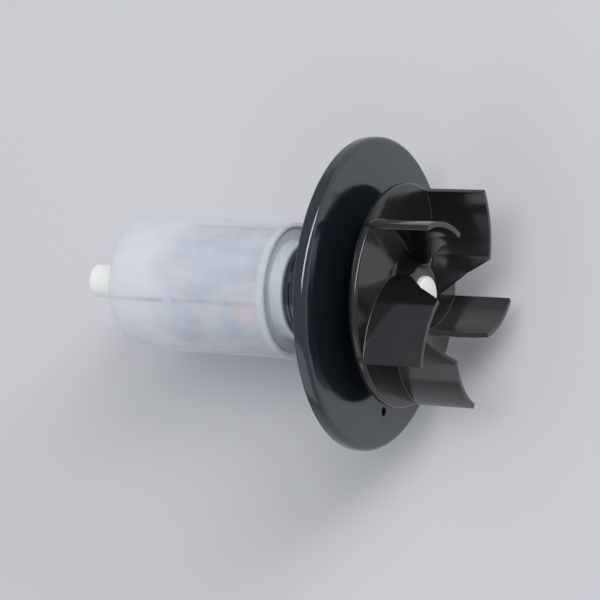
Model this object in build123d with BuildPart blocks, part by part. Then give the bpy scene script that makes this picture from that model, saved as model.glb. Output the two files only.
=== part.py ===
from build123d import *
from math import asin, degrees
import os

# Running unit of a magnetically driven wet-rotor pump: a bearing plate that stays still, and a
# sealed magnet rotor, a ceramic shaft and a five-blade impeller that turn in it as one.
# The shaft line is the X axis, with the impeller on +X. The origin is where that line meets the
# plate's rear seat. Angles about the shaft are counted from +Y towards +Z. Millimetres.

# bearing plate
plate_dia = 54.0
plate_thickness = 2.4
plate_front_round = 0.8
plate_rear_round = 0.3
boss_dia = 16.6
boss_length = 12.2
boss_lip = 1.2           # web at the plate's front that keeps the bush in
boss_ridge_pitch = 1.5   # fine rings round the boss
boss_ridge_depth = 0.2
boss_ridge_width = 0.5
boss_ridge_count = 3
vent_dia = 1.6
vent_from_rim = 6.5      # hole's centre, in from the plate's rim
vent_angle = 190.0

# shaft
shaft_dia = 6.0
shaft_rear_length = 10.0  # free journal behind the rotor
shaft_rear_chamfer = 0.5
shaft_head_step = 0.55   # head that keeps the impeller on, how far it stands out from the shaft
shaft_head_seat = 1.6    # how deep the head sits in the impeller's hub
shaft_head_height = 1.0  # above the hub
shaft_head_round = 0.6
grip_groove_depth = 0.3  # ring groove that the rotor shell's rear wall grips

# bush in the plate, held in two rubber rings
running_clearance = 0.05  # shaft in bush, on the radius
bush_wall = 2.0
bush_recess = 1.2        # bush's rear face, in from the boss's rear end
ring_wall = 1.2          # rubber between bush and boss
ring_length = 2.2
ring_inset = 1.0
lip_bore_clearance = 1.2  # shaft in the lip, on the radius

# thrust faces and end float
end_float = 0.6          # how far the rotor can slide back
thrust_gap = 0.05        # between faces that run on each other
float_stop_gap = 0.1     # left at the end of the float
loose_washer_thickness = 0.8
loose_washer_clearance = 0.1
mouth_clearance = 0.65   # thrust ring and washer in the boss's mouth, on the radius
thrust_ring_seat = 2.0   # how deep the thrust ring sits in the neck
front_washer_dia = 11.0
front_washer_thickness = 0.8

# sealed rotor
rotor_dia = 24.0
rotor_length = 31.9
shell_wall = 0.8
shell_rear_wall = 1.0
shell_rear_round = 1.3
shell_lip_round = 0.3
shell_groove = 1.2       # width of the shaft's ring groove under the rear wall
neck_dia = 17.2
neck_gap = 0.2           # neck to the boss's rear end
neck_length = 2.3
cap_recess = 0.6         # cap's face, in from the shell's lip
cap_thickness = 1.2
magnet_count = 4
magnet_length = 17.6
magnet_thickness = 3.3
magnet_gap = 0.9
magnet_seam_angle = 106.0
magnet_clearance = 0.3   # magnet to shell
iron_wall = 2.0
spacer_wall = 1.6
spacer_clearance = 0.15  # spacer to shell
spacer_web = 1.2
spacer_slit = 0.8

# impeller
shroud_dia = 38.4
shroud_thickness = 1.6
shroud_gap = 3.7         # plate's front face to the shroud's back
shroud_round = 0.35
hub_rear_dia = 11.0
hub_dia = 11.2
hub_height = 2.9         # above the shroud
hub_root_dia = 13.6
blade_count = 5
blade_phase = 55.0
blade_thickness = 0.9
blade_overhang = 0.1     # blade tips past the shroud's rim
blade_tip_height = 10.55  # heights are above the shroud
knee_dia = 22.2          # where the blades' front edges start to slope down to the hub
knee_height = 10.95
knee_sweep = 33.6        # how far the knee lags the tip
elbow_dia = 18.4         # where the slope eases
elbow_height = 6.9
foot_dia = 12.2          # where the slope meets the hub's front
root_sweep = 79.0        # how far the root lags the tip
blade_edge_round = 0.2
edge_break = 0.2
overcut = 1.0            # how far a cutting shape runs past what it cuts
tolerance = 0.01         # for finding edges

# stations along the shaft line
plate_front = plate_thickness
boss_rear = -boss_length
bush_front = plate_front - boss_lip
bush_rear = boss_rear + bush_recess
loose_washer_front = bush_rear - thrust_gap
loose_washer_rear = loose_washer_front - loose_washer_thickness
thrust_ring_front = loose_washer_rear - thrust_gap
neck_front = boss_rear - neck_gap
thrust_ring_rear = neck_front - thrust_ring_seat
cap_front = neck_front - neck_length
cap_rear = cap_front - cap_thickness
shell_front = cap_front + cap_recess
shell_rear = shell_front - rotor_length
shell_floor = shell_rear + shell_rear_wall
magnet_rear = cap_rear - magnet_length
front_washer_rear = plate_front + end_float + float_stop_gap
front_washer_front = front_washer_rear + front_washer_thickness
shroud_rear = plate_front + shroud_gap
shroud_front = shroud_rear + shroud_thickness
hub_front = shroud_front + hub_height
elbow_front = shroud_front + elbow_height
knee_front = shroud_front + knee_height
blade_tip_front = shroud_front + blade_tip_height
shaft_rear = shell_rear - shaft_rear_length
head_rear = hub_front - shaft_head_seat
shaft_front = hub_front + shaft_head_height

# radii that mate
shaft_r = shaft_dia / 2
head_r = shaft_r + shaft_head_step
bush_bore_r = shaft_r + running_clearance
bush_r = bush_bore_r + bush_wall
boss_bore_r = bush_r + ring_wall
thrust_ring_r = boss_bore_r - mouth_clearance
shell_bore_r = rotor_dia / 2 - shell_wall
magnet_r = shell_bore_r - magnet_clearance
magnet_bore_r = magnet_r - magnet_thickness
core_r = magnet_bore_r - iron_wall
spacer_r = shell_bore_r - spacer_clearance
groove_r = shaft_r - grip_groove_depth
blade_tip_r = shroud_dia / 2 + blade_overhang
blade_corner_r = blade_tip_r + blade_thickness / 2


def turn(*points, start=0.0, sweep=360.0, mode=Mode.ADD):
    # turns a closed outline of (x, radius) points about the shaft line, in the part being built
    with BuildSketch(Plane.XY.rotated((start, 0, 0))) as outline:
        with BuildLine():
            Polyline(*points, close=True)
        make_face()
    revolve(outline.sketch, axis=Axis.X, revolution_arc=sweep, mode=mode)


def ring(x_rear, x_front, r_in, r_out, **how):
    turn((x_rear, r_in), (x_front, r_in), (x_front, r_out), (x_rear, r_out), **how)


def circles(piece, x, radius):
    # the circular edges of a piece at one station and radius
    edges = piece.edges().filter_by(GeomType.CIRCLE)
    edges = edges.filter_by(lambda e: abs(e.arc_center.X - x) < tolerance)
    return edges.filter_by(lambda e: abs(e.radius - radius) < tolerance)


# Bearing plate: a flat disc with a ringed boss behind it. The boss holds the bush.
with BuildPart() as bearing_plate:
    ring(0, plate_front, shaft_r + lip_bore_clearance, plate_dia / 2)
    ring(boss_rear, bush_front, boss_bore_r, boss_dia / 2)
    ring(0, bush_front, shaft_r, boss_bore_r, mode=Mode.SUBTRACT)
    for number in range(boss_ridge_count):
        groove_front = boss_rear + boss_ridge_pitch * (number + 1)
        ring(groove_front - boss_ridge_width, groove_front, boss_dia / 2 - boss_ridge_depth,
             boss_dia / 2 + overcut, mode=Mode.SUBTRACT)
    with BuildSketch(Plane.YZ.rotated((vent_angle, 0, 0))) as vent:
        with Locations((plate_dia / 2 - vent_from_rim, 0)):
            Circle(vent_dia / 2)
    extrude(vent.sketch, amount=plate_front, mode=Mode.SUBTRACT)
    fillet(circles(bearing_plate, plate_front, plate_dia / 2), plate_front_round)
    fillet(circles(bearing_plate, 0, plate_dia / 2), plate_rear_round)
    chamfer(circles(bearing_plate, boss_rear, boss_dia / 2), edge_break)

# Plain ceramic bush that the shaft turns in.
with BuildPart() as plate_bush:
    ring(bush_rear, bush_front, bush_bore_r, bush_r)
    chamfer(circles(plate_bush, bush_rear, bush_r), edge_break)

# Two rubber rings that hold the bush in the boss.
ring_rears = {"front": bush_front - ring_inset - ring_length, "rear": bush_rear + ring_inset}
bush_rings = {}
for place, rear in ring_rears.items():
    with BuildPart() as bush_ring:
        ring(rear, rear + ring_length, bush_r, boss_bore_r)
        chamfer(bush_ring.edges().filter_by(GeomType.CIRCLE), edge_break)
    bush_rings[f"bush_ring_{place}"] = bush_ring

# Loose thrust washer between the bush and the rotor. It floats with the rotor.
with BuildPart() as loose_washer:
    ring(loose_washer_rear, loose_washer_front, shaft_r + loose_washer_clearance, thrust_ring_r)

# Ceramic shaft with a head at its front end. A ring groove near its rear end locks it to the rotor.
with BuildPart() as shaft:
    ring(shaft_rear, shaft_front, 0, shaft_r)
    ring(head_rear, shaft_front, 0, head_r)
    ring(shell_floor - shell_groove, shell_floor, groove_r, shaft_r + overcut, mode=Mode.SUBTRACT)
    chamfer(circles(shaft, shaft_rear, shaft_r), shaft_rear_chamfer)
    fillet(circles(shaft, shaft_front, head_r), shaft_head_round)

# Translucent shell: a can with a closed rear end that is moulded on to the shaft.
with BuildPart() as rotor_shell:
    ring(shell_rear, shell_front, shaft_r, rotor_dia / 2)
    ring(shell_floor, shell_front, shaft_r - overcut, shell_bore_r, mode=Mode.SUBTRACT)
    fillet(circles(rotor_shell, shell_rear, rotor_dia / 2), shell_rear_round)
    fillet(circles(rotor_shell, shell_front, rotor_dia / 2), shell_lip_round)

# Front cap that closes the shell, with a neck that carries the thrust ring.
with BuildPart() as rotor_cap:
    ring(cap_rear, cap_front, shaft_r, shell_bore_r)
    ring(cap_front, neck_front, shaft_r, neck_dia / 2)
    ring(thrust_ring_rear, neck_front, shaft_r - overcut, thrust_ring_r, mode=Mode.SUBTRACT)
    fillet(circles(rotor_cap, neck_front, neck_dia / 2), shell_lip_round)

# Ceramic thrust ring in the neck.
with BuildPart() as thrust_ring:
    ring(thrust_ring_rear, thrust_ring_front, shaft_r, thrust_ring_r)
    chamfer(circles(thrust_ring, thrust_ring_front, thrust_ring_r), edge_break)

# Moulded core tube on the shaft.
with BuildPart() as rotor_core:
    ring(shell_floor, cap_rear, shaft_r, core_r)

# Steel sleeve that closes the magnets' field.
with BuildPart() as back_iron:
    ring(magnet_rear, cap_rear, core_r, magnet_bore_r)

# Arc magnets round the sleeve, with glue gaps between them.
gap_angle = degrees(2 * asin(magnet_gap / 2 / magnet_r))
magnets = {}
for number in range(magnet_count):
    seam = magnet_seam_angle + 360 / magnet_count * number
    with BuildPart() as magnet:
        ring(magnet_rear, cap_rear, magnet_bore_r, magnet_r,
             start=seam + gap_angle / 2, sweep=360 / magnet_count - gap_angle)
    magnets[f"magnet_{number + 1}"] = magnet

# White spacer behind the magnets: a split ring on a web.
with BuildPart() as rear_spacer:
    ring(shell_floor, magnet_rear, spacer_r - spacer_wall, spacer_r)
    ring(magnet_rear - spacer_web, magnet_rear, core_r, spacer_r)
    with BuildSketch(Plane.YZ.offset(shell_floor).rotated((magnet_seam_angle, 0, 0))) as slit:
        with Locations((spacer_r, 0)):
            Rectangle(3 * spacer_wall, spacer_slit)
    extrude(slit.sketch, amount=magnet_rear - spacer_web - shell_floor, mode=Mode.SUBTRACT)

# Thrust washer on the shaft, behind the impeller's hub.
with BuildPart() as front_washer:
    ring(front_washer_rear, front_washer_front, shaft_r, front_washer_dia / 2)


def polar(radius, angle):
    return Vector(radius, 0).rotate(Axis.Z, angle)


# One impeller blade: an arc in the shroud's plane, drawn straight forward. Its front edge rises a
# little from the tip to the knee, then slopes down to the hub. Its tip is on +Y.
with BuildPart() as blade:
    with BuildSketch(Plane.YZ.offset(shroud_front - shroud_thickness / 2)):
        with BuildLine():
            ThreePointArc(polar(blade_tip_r, 0), polar(knee_dia / 2, -knee_sweep),
                          polar(hub_dia / 2 - blade_thickness / 2, -root_sweep))
        trace(line_width=blade_thickness)
    extrude(amount=knee_height + shroud_thickness / 2)
    turn((hub_front, 0), (hub_front, foot_dia / 2), (elbow_front, elbow_dia / 2),
         (knee_front, knee_dia / 2), (blade_tip_front, blade_corner_r),
         (knee_front + overcut, blade_corner_r), (knee_front + overcut, 0), mode=Mode.SUBTRACT)
    front_edges = blade.edges().filter_by(lambda e: e.center().X > blade_tip_front - blade_edge_round)
    fillet(front_edges, blade_edge_round)

# Impeller: one moulding of back shroud, hub and blades.
with BuildPart() as impeller:
    ring(shroud_rear, shroud_front, 0, shroud_dia / 2)
    fillet(circles(impeller, shroud_rear, shroud_dia / 2), shroud_round)
    fillet(circles(impeller, shroud_front, shroud_dia / 2), shroud_round)
    ring(front_washer_front, shroud_rear, 0, hub_rear_dia / 2)
    turn((shroud_front, 0), (hub_front, 0), (hub_front, hub_dia / 2), (shroud_front, hub_root_dia / 2))
    for number in range(blade_count):
        add(blade.part, rotation=(blade_phase + 360 / blade_count * number, 0, 0))
    ring(front_washer_front - overcut, hub_front, 0, shaft_r, mode=Mode.SUBTRACT)
    ring(head_rear, hub_front + overcut, 0, head_r, mode=Mode.SUBTRACT)

nodes = {
    "bearing_plate": bearing_plate,
    "plate_bush": plate_bush,
    **bush_rings,
    "loose_washer": loose_washer,
    "shaft": shaft,
    "rotor_shell": rotor_shell,
    "rotor_cap": rotor_cap,
    "thrust_ring": thrust_ring,
    "rotor_core": rotor_core,
    "back_iron": back_iron,
    **magnets,
    "rear_spacer": rear_spacer,
    "front_washer": front_washer,
    "impeller": impeller,
}

os.makedirs("parts", exist_ok=True)
for name, node in nodes.items():
    node.part.label = name
    export_step(node.part, f"parts/{name}.step")
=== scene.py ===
from math import acos, atan2, cos, hypot, pi, radians, sin
import bmesh
import bpy
from mathutils import Matrix, Vector


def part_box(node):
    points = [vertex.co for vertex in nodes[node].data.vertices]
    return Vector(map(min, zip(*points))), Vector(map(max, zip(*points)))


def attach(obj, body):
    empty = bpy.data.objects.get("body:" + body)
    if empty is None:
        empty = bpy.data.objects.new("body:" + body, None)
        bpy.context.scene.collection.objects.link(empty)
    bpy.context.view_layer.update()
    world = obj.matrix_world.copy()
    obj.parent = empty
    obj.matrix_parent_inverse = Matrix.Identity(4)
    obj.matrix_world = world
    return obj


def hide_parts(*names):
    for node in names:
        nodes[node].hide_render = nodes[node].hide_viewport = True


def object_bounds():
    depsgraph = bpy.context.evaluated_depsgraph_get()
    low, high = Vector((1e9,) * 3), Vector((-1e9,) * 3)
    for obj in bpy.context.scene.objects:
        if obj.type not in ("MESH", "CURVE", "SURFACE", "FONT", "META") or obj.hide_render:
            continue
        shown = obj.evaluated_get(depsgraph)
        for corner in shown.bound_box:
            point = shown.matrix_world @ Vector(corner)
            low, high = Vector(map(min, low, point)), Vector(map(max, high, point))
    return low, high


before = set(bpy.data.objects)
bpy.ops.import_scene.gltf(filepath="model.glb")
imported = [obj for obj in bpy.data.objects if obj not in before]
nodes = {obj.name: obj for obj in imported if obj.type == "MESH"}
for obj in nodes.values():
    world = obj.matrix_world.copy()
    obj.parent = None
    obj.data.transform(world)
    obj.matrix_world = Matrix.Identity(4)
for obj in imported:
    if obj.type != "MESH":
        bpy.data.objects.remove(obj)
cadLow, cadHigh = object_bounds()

# Running unit of a wet-rotor pump. The shaft line is the X axis, impeller on +X.
# Angles about the shaft are counted from +Y towards +Z. Metres, so sizes are times mm.
mm = 0.001
print("frame loaded:", len(nodes), "nodes")

# The stage: a plain floor, a window-like key light high on the +Y side, a weak fill and a soft sky.

studio = {
    "floorSize": 3.0,
    "floorColour": (0.65, 0.65, 0.66, 1),
    "floorRoughness": 0.85,
    "floorGloss": 0.2,
    "skyColour": (0.86, 0.9, 1.0, 1),
    "skyStrength": 0.45,
}
areaLights = {
    "key": {"towards": (0.46, 0.42, 0.78), "distance": 1.0,
            "wide": 0.26, "tall": 1.4, "power": 8.6},
    "fill": {"towards": (-0.3, -0.85, 0.45), "distance": 1.2,
             "wide": 1.2, "tall": 0.8, "power": 1.7},
}

view = {
    "tilt": radians(28.76),      # camera leans from straight above towards the impeller
    "roll": radians(2.97),
    "distance": 385.9 * mm,      # to the plate's front face
    "lens": 135.0,
    "nearest": 0.01,             # nothing closer than this is drawn
    "aimRight": 13.8 * mm,       # plate's centre, from the middle of the view
    "aimDown": -0.96 * mm,
}


def deselectAll():
    bpy.ops.object.select_all(action="DESELECT")


def makeStudio():
    deselectAll()
    bpy.ops.mesh.primitive_plane_add(size=studio["floorSize"], location=(0, 0, cadLow.z))
    floor = bpy.context.object
    floor.name = "floor"
    mat = bpy.data.materials.new("paleFloor")
    mat.use_nodes = True
    shader = mat.node_tree.nodes["Principled BSDF"]
    shader.inputs["Base Color"].default_value = studio["floorColour"]
    shader.inputs["Roughness"].default_value = studio["floorRoughness"]
    shader.inputs["Specular IOR Level"].default_value = studio["floorGloss"]
    floor.data.materials.append(mat)

    for name, one in areaLights.items():
        towards = Vector(one["towards"]).normalized()
        bpy.ops.object.light_add(type="AREA", location=towards * one["distance"],
                                 rotation=towards.to_track_quat("Z", "Y").to_euler())
        lamp = bpy.context.object
        lamp.name = name
        lamp.data.shape = "RECTANGLE"
        lamp.data.size, lamp.data.size_y = one["wide"], one["tall"]
        lamp.data.energy = one["power"]

    world = bpy.data.worlds.new("softSky")
    bpy.context.scene.world = world
    world.use_nodes = True
    sky = world.node_tree.nodes["Background"]
    sky.inputs["Color"].default_value = studio["skyColour"]
    sky.inputs["Strength"].default_value = studio["skyStrength"]
    bpy.context.scene.view_settings.view_transform = "Standard"


def makeCamera():
    t, r = view["tilt"], view["roll"]
    right = Vector((cos(r) * cos(t), sin(r), -cos(r) * sin(t)))
    down = Vector((sin(r) * cos(t), -cos(r), -sin(r) * sin(t)))
    back = Vector((sin(t), 0, cos(t)))
    plateFront = Vector((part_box("bearing_plate")[1].x, 0, 0))
    aim = plateFront - right * view["aimRight"] - down * view["aimDown"]
    camera = bpy.data.objects.new("camera", bpy.data.cameras.new("camera"))
    bpy.context.scene.collection.objects.link(camera)
    turn = Matrix((right, -down, back)).transposed().to_4x4()
    camera.matrix_world = Matrix.Translation(aim + back * view["distance"]) @ turn
    camera.data.lens = view["lens"]
    camera.data.clip_start = view["nearest"]
    bpy.context.scene.camera = camera


makeStudio()
makeCamera()
print("stage, light and camera made")

# Modelling calls that every piece below uses. A turned piece is an outline of (x, radius)
# points drawn by extruding a vertex, then spun about the shaft line.

spinSteps = 128
tiny = 1e-6                   # points closer than this are one
ringReach = 0.01 * mm         # how far off its place a ring may be found
smoothAngle = radians(30)     # sharper edges stay sharp


def pick(piece):
    deselectAll()
    bpy.context.view_layer.objects.active = piece
    piece.select_set(True)


def editMode(piece):
    pick(piece)
    bpy.ops.object.mode_set(mode="EDIT")


def objectMode():
    bpy.ops.object.mode_set(mode="OBJECT")


def startPoint(name, place):
    # a new mesh of one vertex, left in edit mode with the vertex selected
    deselectAll()
    bpy.ops.mesh.primitive_plane_add(size=mm)
    piece = bpy.context.object
    piece.name = name
    editMode(piece)
    bpy.ops.mesh.select_mode(type="VERT")
    bpy.ops.mesh.select_all(action="SELECT")
    bpy.ops.mesh.merge(type="CENTER")
    bpy.ops.transform.translate(value=place)
    return piece


def mergeAndFace():
    # closes seams and turns every face outwards, in edit mode
    bpy.ops.mesh.select_all(action="SELECT")
    bpy.ops.mesh.remove_doubles(threshold=tiny)
    bpy.ops.mesh.normals_make_consistent(inside=False)


def turned(name, outline, steps=spinSteps, closed=True):
    points = [Vector((x, radius, 0)) for x, radius in outline]
    piece = startPoint(name, points[0])
    for here, there in zip(points, points[1:] + points[:closed]):
        bpy.ops.mesh.extrude_region_move(TRANSFORM_OT_translate={"value": there - here})
    bpy.ops.mesh.select_all(action="SELECT")
    bpy.ops.mesh.remove_doubles(threshold=tiny)
    bpy.ops.mesh.select_all(action="SELECT")
    bpy.ops.mesh.spin(steps=steps, angle=2 * pi, center=(0, 0, 0), axis=(1, 0, 0))
    mergeAndFace()
    objectMode()
    return piece


def roundRings(piece, rings, segments=4):
    # rounds the circular edges at each (x, radius, size of the round)
    editMode(piece)
    bpy.ops.mesh.select_mode(type="EDGE")
    for x, radius, size in rings:
        bpy.ops.mesh.select_all(action="DESELECT")
        mesh = bmesh.from_edit_mesh(piece.data)
        for edge in mesh.edges:
            edge.select_set(all(abs(v.co.x - x) < ringReach and
                                abs(hypot(v.co.y, v.co.z) - radius) < ringReach
                                for v in edge.verts))
        bmesh.update_edit_mesh(piece.data)
        bpy.ops.mesh.bevel(offset=size, segments=segments, affect="EDGES")
    objectMode()
    return piece


def applyModifier(piece, kind, **settings):
    pick(piece)
    modifier = piece.modifiers.new(kind, kind)
    for key, value in settings.items():
        setattr(modifier, key, value)
    bpy.ops.object.modifier_apply(modifier=modifier.name)
    return piece


def combine(piece, other, operation):
    applyModifier(piece, "BOOLEAN", object=other, operation=operation, solver="EXACT")
    bpy.data.objects.remove(other, do_unlink=True)
    return piece


def standIn(piece, node, body, mat):
    # puts a finished piece in a CAD node's place
    pick(piece)
    bpy.ops.object.shade_smooth_by_angle(angle=smoothAngle)
    piece.data.materials.clear()
    piece.data.materials.append(mat)
    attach(piece, body)
    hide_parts(node)
    print(node, "modelled:", len(piece.data.polygons), "faces")


# Finishes. Each is a node material on Object coordinates, counted here in millimetres.
# Where a finish has two colours, a cloudy pattern runs from the first to the second.

colours = {
    "plate": ((0.007, 0.010, 0.014, 1), (0.012, 0.016, 0.021, 1)),
    "impeller": ((0.008, 0.008, 0.008, 1), (0.013, 0.013, 0.013, 1)),
    "dust": (0.3, 0.3, 0.31, 1),
    "shell": ((0.80, 0.84, 0.90, 1), (0.90, 0.92, 0.96, 1)),
    "cap": ((0.6, 0.66, 0.7, 1), (0.72, 0.77, 0.8, 1)),
    "ceramic": ((0.92, 0.92, 0.86, 1), (0.97, 0.97, 0.93, 1)),
    "white": ((0.82, 0.83, 0.86, 1), (0.92, 0.93, 0.95, 1)),
    # painted blur: the darker tone the spacer is painted towards near the magnets
    "whitePaintedBlur": (0.4, 0.46, 0.53, 1),
    "whiteStain": (0.6, 0.42, 0.36, 1),
    "magnet": ((0.24, 0.30, 0.37, 1), (0.34, 0.40, 0.46, 1)),
    # painted blur: the lighter tone the magnets are painted towards near the spacer
    "magnetPaintedBlur": (0.6, 0.65, 0.7, 1),
    "magnetStain": (0.85, 0.3, 0.02, 1),
    "steel": ((0.3, 0.29, 0.28, 1), (0.4, 0.38, 0.36, 1)),
    "steelRust": (0.42, 0.2, 0.1, 1),
    "rubber": ((0.02, 0.02, 0.02, 1), (0.035, 0.035, 0.035, 1)),
    "washer": ((0.62, 0.6, 0.55, 1), (0.72, 0.7, 0.65, 1)),
}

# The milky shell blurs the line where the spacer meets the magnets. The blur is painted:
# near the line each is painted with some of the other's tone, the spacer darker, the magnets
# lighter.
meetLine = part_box("rear_spacer")[1].x / mm
paintedBlur = {
    "spacerLength": 5.5,
    "spacerShare": 0.5,
    "magnetLength": 4.5,
    "magnetShare": 0.6,
}

# Rust under the shell. Angles in degrees.
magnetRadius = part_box("magnet_3")[1].y / mm
rustBlots = [
    {"x": -18.4, "angle": 112, "size": 3.4, "share": 0.9},      # front corner
    {"x": -18.2, "angle": 94, "size": 2.6, "share": 0.3},       # its faint side
    {"x": -35.2, "angle": 74, "size": 4.2, "share": 0.5},       # across the meeting line
]


class Finish:
    # a material being wired: its shader, and short calls for the usual nodes
    def __init__(self, name, **sockets):
        self.mat = bpy.data.materials.new(name)
        self.mat.use_nodes = True
        self.tree = self.mat.node_tree
        self.shader = self.tree.nodes["Principled BSDF"]
        self.coords = self.add("ShaderNodeTexCoord").outputs["Object"]
        for socket, value in sockets.items():
            self.shader.inputs[socket.replace("_", " ")].default_value = value

    def add(self, kind, **settings):
        node = self.tree.nodes.new(kind)
        for key, value in settings.items():
            setattr(node, key, value)
        return node

    def link(self, source, target):
        self.tree.links.new(source, target)

    def feed(self, node, socket, value):
        if hasattr(value, "is_linked"):
            self.link(value, node.inputs[socket])
        else:
            node.inputs[socket].default_value = value

    def place(self, scale=(1, 1, 1), move=(0, 0, 0)):
        # coordinates in millimetres; a scale under 1 draws a pattern out along that axis
        node = self.add("ShaderNodeMapping")
        self.link(self.coords, node.inputs["Vector"])
        node.inputs["Scale"].default_value = [s / mm for s in scale]
        node.inputs["Location"].default_value = move
        return node.outputs["Vector"]

    def noise(self, scale, detail=3.0, rough=0.5, vector=None):
        # cloudy pattern, about scale clouds to a millimetre
        node = self.add("ShaderNodeTexNoise")
        self.link(vector or self.place(), node.inputs["Vector"])
        node.inputs["Scale"].default_value = scale
        node.inputs["Detail"].default_value = detail
        node.inputs["Roughness"].default_value = rough
        return node.outputs["Fac"]

    def ramp(self, fac, low, high, a=0.0, b=1.0):
        # maps fac from low..high to a..b
        node = self.add("ShaderNodeMapRange", interpolation_type="SMOOTHSTEP")
        self.link(fac, node.inputs["Value"])
        ends = {"From Min": low, "From Max": high, "To Min": a, "To Max": b}
        for socket, value in ends.items():
            node.inputs[socket].default_value = value
        return node.outputs["Result"]

    def math(self, what, a, b=0.0):
        node = self.add("ShaderNodeMath", operation=what)
        self.feed(node, 0, a)
        self.feed(node, 1, b)
        return node.outputs[0]

    def mix(self, fac, a, b):
        # this node numbers its colour sockets 6 and 7, and its colour output 2
        node = self.add("ShaderNodeMix", data_type="RGBA")
        self.feed(node, 0, fac)
        self.feed(node, 6, a)
        self.feed(node, 7, b)
        return node.outputs[2]

    def spot(self, x, angle, size):
        # a blot on the magnets' face: 1 in its middle, 0 outside its ragged edge
        turn = radians(angle)
        away = self.add("ShaderNodeVectorMath", operation="DISTANCE")
        self.link(self.place(), away.inputs[0])
        away.inputs[1].default_value = (x, magnetRadius * cos(turn), magnetRadius * sin(turn))
        ragged = self.math("MULTIPLY", self.math("SUBTRACT", self.noise(0.7, detail=4), 0.5), size)
        return self.ramp(self.math("ADD", away.outputs["Value"], ragged), size, 0.3 * size)

    def stains(self, faint):
        # rust: faint clouds all over, and the blots
        clouds = self.noise(0.22, detail=5, rough=0.65, vector=self.place(move=(3.1, 7.7, 1.3)))
        rust = self.ramp(clouds, 0.56, 0.7, 0, faint)
        for blot in rustBlots:
            spot = self.spot(blot["x"], blot["angle"], blot["size"])
            rust = self.math("MAXIMUM", rust, self.math("MULTIPLY", spot, blot["share"]))
        return rust

    def along(self, rear, front, a, b):
        # changes from a at the rear station to b at the front one, in millimetres
        split = self.add("ShaderNodeSeparateXYZ")
        self.link(self.place(), split.inputs[0])
        return self.ramp(split.outputs["X"], rear, front, a, b)

    def bump(self, height, depth, strength=1.0):
        node = self.add("ShaderNodeBump")
        self.link(height, node.inputs["Height"])
        node.inputs["Distance"].default_value = depth
        node.inputs["Strength"].default_value = strength
        return node.outputs["Normal"]

    def set(self, **sockets):
        for socket, value in sockets.items():
            self.feed(self.shader, socket.replace("_", " "), value)


def blackPlastic(name, pair, rough, dust, gloss, tint):
    # glossy moulded black: cloudy polish, faint flow streaks, a little dust
    f = Finish(name, Specular_IOR_Level=gloss, Specular_Tint=tint)
    cloud = f.noise(0.12, detail=4)
    streak = f.noise(0.5, detail=5, rough=0.6, vector=f.place((0.25, 1, 1)))
    speck = f.ramp(f.noise(2.6, detail=2), 0.76, 0.82, 0, dust)
    f.set(Base_Color=f.mix(speck, f.mix(cloud, *pair), colours["dust"]))
    smudge = f.ramp(f.math("ADD", cloud, streak), 0.75, 1.25, rough[0], rough[1])
    f.set(Roughness=f.math("ADD", smudge, f.math("MULTIPLY", speck, 0.3)))
    f.set(Normal=f.bump(f.noise(0.2, detail=2), 0.02 * mm, 0.25))
    return f.mat


def clearShell():
    # milky clear plastic, cloudier along the moulding's flow
    f = Finish("clearShell", Specular_IOR_Level=0.5, Sheen_Weight=0.35)
    cloud = f.noise(0.18, detail=4)
    flow = f.noise(0.35, detail=3, rough=0.5, vector=f.place((0.3, 1, 1)))
    f.set(Base_Color=f.mix(cloud, *colours["shell"]))
    f.set(Roughness=f.ramp(flow, 0.3, 0.7, 0.25, 0.4))
    f.set(Alpha=f.ramp(f.math("ADD", cloud, flow), 0.7, 1.3, 0.34, 0.46))
    f.set(Normal=f.bump(f.noise(0.5, detail=3), 0.03 * mm, 0.5))
    return f.mat


def paleCap():
    f = Finish("paleCap", Specular_IOR_Level=0.4)
    cloud = f.noise(0.3, detail=4)
    f.set(Base_Color=f.mix(cloud, *colours["cap"]))
    f.set(Roughness=f.ramp(cloud, 0.3, 0.7, 0.35, 0.5))
    f.set(Normal=f.bump(f.noise(0.8, detail=3), 0.03 * mm, 0.5))
    return f.mat


def whitePlastic():
    # lets light through; near the magnets its colour is painted darker, a painted blur of the shell
    f = Finish("whitePlastic", Specular_IOR_Level=0.4, Subsurface_Weight=0.8,
               Subsurface_Scale=3 * mm, Subsurface_Radius=(1, 1, 1))
    cloud = f.noise(0.25, detail=4)
    # painted blur: the spacer is painted darker towards the meeting line
    near = f.along(meetLine - paintedBlur["spacerLength"], meetLine, 0, paintedBlur["spacerShare"])
    white = f.mix(near, f.mix(cloud, *colours["white"]), colours["whitePaintedBlur"])
    f.set(Base_Color=f.mix(f.stains(0.1), white, colours["whiteStain"]))
    f.set(Roughness=f.ramp(cloud, 0.3, 0.7, 0.45, 0.65))
    return f.mat


def ivoryCeramic():
    f = Finish("ivoryCeramic", Specular_IOR_Level=0.6)
    cloud = f.noise(0.5, detail=4)
    grind = f.noise(3.0, detail=3, rough=0.6, vector=f.place((0.2, 1, 1)))
    f.set(Base_Color=f.mix(cloud, *colours["ceramic"]))
    f.set(Roughness=f.ramp(grind, 0.3, 0.7, 0.16, 0.3))
    f.set(Normal=f.bump(grind, 0.006 * mm, 0.4))
    return f.mat


def rustedMagnet():
    # plated magnet, stained where damp got in
    f = Finish("platedMagnet", Metallic=0.1)
    cloud = f.noise(0.3, detail=5, rough=0.6)
    rust = f.stains(0.3)
    # painted blur: the magnets are painted lighter towards the meeting line
    near = f.along(meetLine, meetLine + paintedBlur["magnetLength"], paintedBlur["magnetShare"], 0)
    plating = f.mix(near, f.mix(cloud, *colours["magnet"]), colours["magnetPaintedBlur"])
    f.set(Base_Color=f.mix(rust, plating, colours["magnetStain"]))
    f.set(Roughness=f.ramp(f.math("ADD", cloud, rust), 0.4, 1.4, 0.35, 0.85))
    f.set(Normal=f.bump(f.noise(1.5, detail=4), 0.05 * mm, 0.5))
    return f.mat


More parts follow.
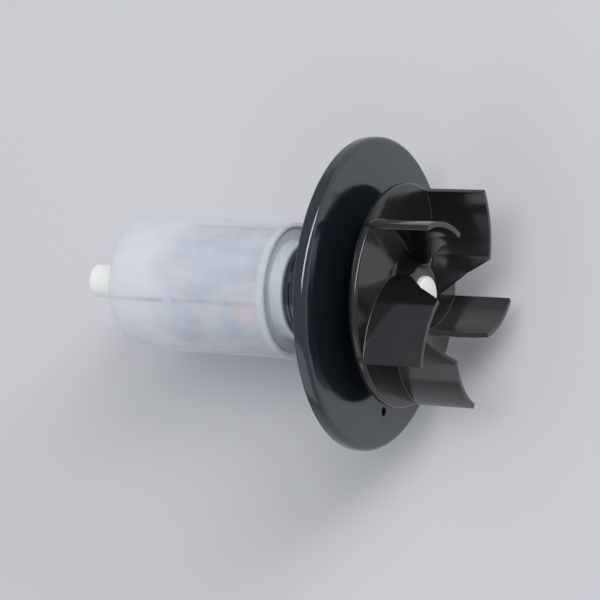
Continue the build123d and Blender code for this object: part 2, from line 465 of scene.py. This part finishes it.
def rustySteel():
    f = Finish("rustySteel", Metallic=0.5)
    cloud = f.noise(0.4, detail=5, rough=0.6)
    patches = f.noise(0.3, detail=5, rough=0.65, vector=f.place(move=(5.3, 0.7, 2.9)))
    rust = f.ramp(patches, 0.45, 0.6, 0.2, 0.9)
    f.set(Base_Color=f.mix(rust, f.mix(cloud, *colours["steel"]), colours["steelRust"]))
    f.set(Roughness=f.ramp(f.math("ADD", cloud, rust), 0.4, 1.4, 0.4, 0.85))
    f.set(Normal=f.bump(f.noise(1.5, detail=4), 0.05 * mm, 0.5))
    return f.mat


def rubber():
    f = Finish("rubber", Specular_IOR_Level=0.3)
    f.set(Base_Color=f.mix(f.noise(0.5), *colours["rubber"]))
    f.set(Roughness=f.ramp(f.noise(2.0), 0.3, 0.7, 0.6, 0.85))
    f.set(Normal=f.bump(f.noise(2.5, detail=2), 0.02 * mm, 0.5))
    return f.mat


def washerPlastic():
    f = Finish("washerPlastic")
    f.set(Base_Color=f.mix(f.noise(0.5), *colours["washer"]))
    f.set(Roughness=f.ramp(f.noise(2.0), 0.3, 0.7, 0.3, 0.5))
    return f.mat


plateBlack = blackPlastic("plateBlack", colours["plate"], rough=(0.08, 0.16), dust=0.3,
                          gloss=1.0, tint=(0.88, 0.95, 1, 1))
impellerBlack = blackPlastic("impellerBlack", colours["impeller"], rough=(0.12, 0.22), dust=0.12,
                             gloss=0.75, tint=(1, 1, 1, 1))
ceramic = ivoryCeramic()
shellMat = clearShell()
capMat = paleCap()
magnetMat = rustedMagnet()
whiteMat = whitePlastic()
rubberMat = rubber()
washerMat = washerPlastic()
cadFinish = {
    "plate_bush": ceramic, "thrust_ring": ceramic,
    "rotor_core": whiteMat, "rear_spacer": whiteMat,
    "back_iron": rustySteel(),
    "bush_ring_front": rubberMat, "bush_ring_rear": rubberMat,
    "loose_washer": washerMat, "front_washer": washerMat,
}
cadFinish.update({name: magnetMat for name in nodes if name.startswith("magnet_")})
for name, mat in cadFinish.items():
    node = nodes[name]
    node.data.materials.clear()
    node.data.materials.append(mat)
print("finishes made, and given to the CAD nodes that stay")

# Bearing plate: flat disc, ringed boss behind it, vent hole near the rim.

plateSizes = {
    "bossRadius": 8.3 * mm,
    "boreRadius": 6.25 * mm,      # holds the bush's rubber rings
    "lip": 1.2 * mm,              # web in front of the bush
    "lipRadius": 4.2 * mm,
    "ridgePitch": 1.5 * mm,
    "ridgeDepth": 0.2 * mm,
    "ridgeWidth": 0.5 * mm,
    "ridgeCount": 3,
    "frontRound": 1.0 * mm,
    "rearRound": 0.4 * mm,
    "edgeRound": 0.2 * mm,
    "ventRadius": 0.8 * mm,
    "ventFromRim": 6.5 * mm,
    "ventAngle": radians(190),
}


def bearingPlate():
    s = plateSizes
    low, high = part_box("bearing_plate")
    rim, boss, bore = high.y, s["bossRadius"], s["boreRadius"]
    outline = [(low.x, bore), (low.x, boss)]
    for number in range(s["ridgeCount"]):
        front = low.x + s["ridgePitch"] * (number + 1)
        rear, bottom = front - s["ridgeWidth"], boss - s["ridgeDepth"]
        outline += [(rear, boss), (rear, bottom), (front, bottom), (front, boss)]
    outline += [(0, boss), (0, rim), (high.x, rim), (high.x, s["lipRadius"]),
                (high.x - s["lip"], s["lipRadius"]), (high.x - s["lip"], bore)]
    plate = turned("bearingPlate", outline, steps=192)
    roundRings(plate, [(high.x, rim, s["frontRound"]), (0, rim, s["rearRound"]),
                       (0, boss, s["edgeRound"]), (low.x, boss, s["edgeRound"]),
                       (low.x, bore, s["edgeRound"])], segments=6)
    fromShaft = rim - s["ventFromRim"]
    deselectAll()
    bpy.ops.mesh.primitive_cylinder_add(
        vertices=32, radius=s["ventRadius"], rotation=(0, pi / 2, 0),
        depth=4 * high.x,         # right through the disc
        location=(high.x / 2, fromShaft * cos(s["ventAngle"]), fromShaft * sin(s["ventAngle"])))
    return combine(plate, bpy.context.object, "DIFFERENCE")


# Shaft: rear stub, ring groove under the shell's rear wall, and the head in the hub.

shaftSizes = {
    "radius": 3.0 * mm,
    "grooveRadius": 2.7 * mm,
    "grooveWidth": 1.2 * mm,
    "headSeat": 1.6 * mm,
    "headHeight": 1.0 * mm,
    "rearRound": 0.6 * mm,
    "headRound": 0.6 * mm,
}


def ceramicShaft():
    s = shaftSizes
    low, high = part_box("shaft")
    radius, head, deep = s["radius"], high.y, s["grooveRadius"]
    groove = shellFloor - s["grooveWidth"]
    headRear = high.x - s["headHeight"] - s["headSeat"]
    piece = turned("ceramicShaft", [
        (low.x, 0), (low.x, radius), (groove, radius), (groove, deep), (shellFloor, deep),
        (shellFloor, radius), (headRear, radius), (headRear, head), (high.x, head), (high.x, 0)],
        closed=False)
    return roundRings(piece, [(low.x, radius, s["rearRound"]), (high.x, head, s["headRound"])])


# Rotor shell: a clear can with a closed rear end. The cap closes its front end.

shellSizes = {
    "wall": 0.8 * mm,
    "rearWall": 1.0 * mm,
    "rearRound": 1.3 * mm,
    "innerRound": 0.7 * mm,
    "lipRound": 0.3 * mm,
}
shellLow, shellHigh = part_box("rotor_shell")
shellFloor = shellLow.x + shellSizes["rearWall"]


def rotorShell():
    s = shellSizes
    outer, inner, bore = shellHigh.y, shellHigh.y - s["wall"], shaftSizes["radius"]
    piece = turned("rotorShell", [
        (shellLow.x, bore), (shellLow.x, outer), (shellHigh.x, outer), (shellHigh.x, inner),
        (shellFloor, inner), (shellFloor, bore)], steps=160)
    roundRings(piece, [(shellLow.x, outer, s["rearRound"]), (shellFloor, inner, s["innerRound"])],
               segments=6)
    return roundRings(piece, [(shellHigh.x, outer, s["lipRound"]),
                              (shellHigh.x, inner, s["lipRound"] / 2)])


# Rotor cap: a disc inside the shell's front end, with a neck towards the boss.

capSizes = {
    "neckRadius": 8.6 * mm,
    "neckLength": 2.3 * mm,
    "pocketRadius": 5.6 * mm,     # holds the thrust ring
    "pocketDepth": 2.0 * mm,
    "weldGap": 0.02 * mm,         # to the shell's wall
    "neckRound": 0.3 * mm,
    "weldRound": 0.4 * mm,        # weld bead in the corner below the shell's lip
}


def rotorCap():
    s = capSizes
    low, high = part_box("rotor_cap")
    face, seat = high.x - s["neckLength"], high.x - s["pocketDepth"]
    rim, weld = high.y - s["weldGap"], s["weldRound"]
    neck, pocket, bore = s["neckRadius"], s["pocketRadius"], shaftSizes["radius"]
    piece = turned("rotorCap", [
        (low.x, bore), (low.x, rim), (face + weld, rim), (face, rim - weld), (face, neck),
        (high.x, neck), (high.x, pocket), (seat, pocket), (seat, bore)])
    return roundRings(piece, [(high.x, neck, s["neckRound"]), (face, neck, s["neckRound"]),
                              (high.x, pocket, s["neckRound"] / 2)])


# Impeller: back shroud and hub turned as one, with five arched blades joined to them.

impellerSizes = {
    "shroudRadius": 19.2 * mm,
    "shroudThickness": 1.6 * mm,
    "shroudRound": 0.45 * mm,
    "hubRearRadius": 5.5 * mm,
    "hubRadius": 5.6 * mm,
    "hubRootRadius": 6.8 * mm,
    "hubHeight": 2.9 * mm,        # above the shroud
    "hubRound": 0.3 * mm,
    "hubRootRound": 0.8 * mm,
    "bladeCount": 5,
    "bladePhase": radians(55),
    "bladeThickness": 0.9 * mm,
    "bladeFoot": 0.22 * mm,       # radius of the fillet where a blade meets the shroud
    "bladeFootRows": 5,           # rows of faces in that fillet
    "bladeSunk": 0.8 * mm,        # part of the blade inside the shroud
    "bladeEdge": 0.2 * mm,
    "bladeCrease": radians(50),   # edges sharper than this are rounded
    "bladeSteps": {"knee": 22, "elbow": 8, "foot": 12, "root": 3},      # along it, from the tip
    "tipHeight": 10.55 * mm,      # heights above the shroud, radii from the shaft line
    "kneeHeight": 10.95 * mm,
    "elbowHeight": 6.9 * mm,
    "footHeight": 2.75 * mm,
    "tipRadius": 19.3 * mm,
    "kneeRadius": 11.1 * mm,
    "elbowRadius": 9.2 * mm,
    "footRadius": 6.1 * mm,
    "rootRadius": 5.15 * mm,
    "kneeLag": radians(33.6),     # how far the knee and the root lag the tip
    "rootLag": radians(79),
}


def circleThrough(a, b, c):
    turn = 2 * (a.x * (b.y - c.y) + b.x * (c.y - a.y) + c.x * (a.y - b.y))
    x = (a.dot(a) * (b.y - c.y) + b.dot(b) * (c.y - a.y) + c.dot(c) * (a.y - b.y)) / turn
    y = (a.dot(a) * (c.x - b.x) + b.dot(b) * (a.x - c.x) + c.dot(c) * (b.x - a.x)) / turn
    return Vector((x, y))


def polar(radius, angle):
    return Vector((radius * cos(angle), radius * sin(angle)))


def camberAngle(centre, radius, atRadius):
    # where on the blade's arc, as an angle about the arc's centre, it is atRadius from the shaft
    away = centre.length
    turn = (away ** 2 + radius ** 2 - atRadius ** 2) / (2 * away * radius)
    return atan2(centre.y, centre.x) + pi + acos(turn)


def bladeHeight(radius):
    # height of the blade's front edge above the shroud, at a radius
    s = impellerSizes
    steps = [(s[name + "Radius"], s[name + "Height"]) for name in ("foot", "elbow", "knee", "tip")]
    if radius <= steps[0][0]:
        return steps[0][1]
    for (inner, low), (outer, high) in zip(steps, steps[1:]):
        if radius <= outer + tiny:
            return low + (high - low) * (radius - inner) / (outer - inner)
    return steps[-1][1]


def footSwell(vertex, shroudFront):
    # 1 at the shroud, 0 where the fillet ends, a quarter circle between; none at the tip's end
    s = impellerSizes
    level = 1 - min(max((vertex.x - shroudFront) / s["bladeFoot"], 0), 1)
    fromTip = s["tipRadius"] - hypot(vertex.y, vertex.z)
    return (1 - (1 - level ** 2) ** 0.5) * min(fromTip / (2 * s["bladeFoot"]), 1)


def impellerBlade(shroudFront):
    s = impellerSizes
    tip = polar(s["tipRadius"], 0)
    knee = polar(s["kneeRadius"], -s["kneeLag"])
    root = polar(s["rootRadius"], -s["rootLag"])
    centre = circleThrough(tip, knee, root)
    camber = (tip - centre).length
    base = shroudFront - s["bladeSunk"]
    blade = startPoint("impellerBlade", (base, tip.x, tip.y))
    here = camberAngle(centre, camber, s["tipRadius"])
    for station, steps in s["bladeSteps"].items():
        there = camberAngle(centre, camber, s[station + "Radius"])
        bpy.ops.mesh.spin(steps=steps, angle=here - there, axis=(1, 0, 0),
                          center=(base, centre.x, centre.y))
        here = there
    bpy.ops.mesh.select_all(action="SELECT")
    foot, footRows = s["bladeFoot"], s["bladeFootRows"]
    heights = [foot * (1 - cos(radians(90 * row / footRows))) for row in range(footRows + 1)]
    here = -s["bladeSunk"]
    for there in heights + [s["footHeight"]]:
        bpy.ops.mesh.extrude_region_move(TRANSFORM_OT_translate={"value": (there - here, 0, 0)})
        here = there
    mesh = bmesh.from_edit_mesh(blade.data)
    for vertex in [v for v in mesh.verts if v.select]:
        vertex.co.x = shroudFront + bladeHeight(hypot(vertex.co.y, vertex.co.z))
    bmesh.update_edit_mesh(blade.data)
    mergeAndFace()
    objectMode()
    group = blade.vertex_groups.new(name="foot")
    for vertex in blade.data.vertices:
        group.add([vertex.index], footSwell(vertex.co, shroudFront), "REPLACE")
    wide = s["bladeThickness"] + 2 * foot
    applyModifier(blade, "SOLIDIFY", thickness=wide, offset=0, use_even_offset=True,
                  vertex_group="foot", thickness_vertex_group=s["bladeThickness"] / wide)
    blade.vertex_groups.clear()
    return applyModifier(blade, "BEVEL", width=s["bladeEdge"], segments=3, limit_method="ANGLE",
                         angle_limit=s["bladeCrease"])


def impeller():
    s = impellerSizes
    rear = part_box("front_washer")[1].x
    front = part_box("impeller")[1].x - s["kneeHeight"]     # shroud's front face
    back = front - s["shroudThickness"]
    hubFront = front + s["hubHeight"]
    headSeat = hubFront - shaftSizes["headSeat"]
    bore, head = shaftSizes["radius"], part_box("shaft")[1].y
    shroud, rearHub, root, hub = (
        s[name + "Radius"] for name in ("shroud", "hubRear", "hubRoot", "hub"))
    piece = turned("openImpeller", [
        (rear, bore), (rear, rearHub), (back, rearHub), (back, shroud), (front, shroud),
        (front, root), (hubFront, hub), (hubFront, head), (headSeat, head), (headSeat, bore)],
        steps=160)
    roundRings(piece, [
        (back, shroud, s["shroudRound"]), (front, shroud, s["shroudRound"]),
        (front, root, s["hubRootRound"]), (hubFront, hub, s["hubRound"]),
        (hubFront, head, s["hubRound"] / 2), (rear, rearHub, s["hubRound"])])
    blade = impellerBlade(front)
    for number in range(s["bladeCount"]):
        one = blade.copy()
        one.data = blade.data.copy()
        bpy.context.scene.collection.objects.link(one)
        one.rotation_euler.x = s["bladePhase"] + 2 * pi * number / s["bladeCount"]
        pick(one)
        bpy.ops.object.transform_apply(rotation=True)
        combine(piece, one, "UNION")
    bpy.data.objects.remove(blade, do_unlink=True)
    return piece


standIn(bearingPlate(), "bearing_plate", "plate", plateBlack)
standIn(ceramicShaft(), "shaft", "rotor", ceramic)
standIn(rotorShell(), "rotor_shell", "rotor", shellMat)
standIn(rotorCap(), "rotor_cap", "rotor", capMat)
standIn(impeller(), "impeller", "rotor", impellerBlack)
print("visible pieces modelled")
